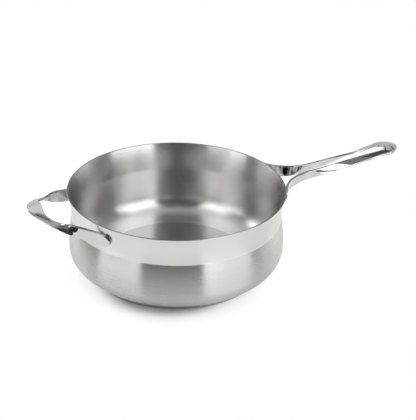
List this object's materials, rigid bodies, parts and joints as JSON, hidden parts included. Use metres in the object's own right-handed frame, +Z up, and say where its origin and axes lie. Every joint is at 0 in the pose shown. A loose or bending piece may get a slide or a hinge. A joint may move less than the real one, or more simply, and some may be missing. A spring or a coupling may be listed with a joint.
{
  "type": "saute pan",
  "caption": "Deep round steel saute pan with a flared band over a rounded belly, a capped sandwich base, a long handle and a short helper handle, both loops of twisted steel strap.",
  "frame": {"origin": "middle of the base's underside, on the pan's axis", "axes": "+X along the long handle, +Z up towards the mouth, +Y to the left seen from above with the long handle pointing away"},
  "size_m": [0.5116, 0.28, 0.1276],
  "materials": {
    "vessel_steel": "satin belly, finer polish on the band and inside",
    "core_aluminium": "plain, sealed inside the base",
    "cap_steel": "turned satin",
    "handle_steel": "mirror polished",
    "weld_steel": "as welded"
  },
  "bodies": {
    "root": {"vessel": "vessel_steel", "base_core": "core_aluminium", "base_cap": "cap_steel", "long_handle": "handle_steel", "helper_handle": "handle_steel", "long_handle_welds": "weld_steel", "helper_handle_welds": "weld_steel"}
  },
  "joints": []
}
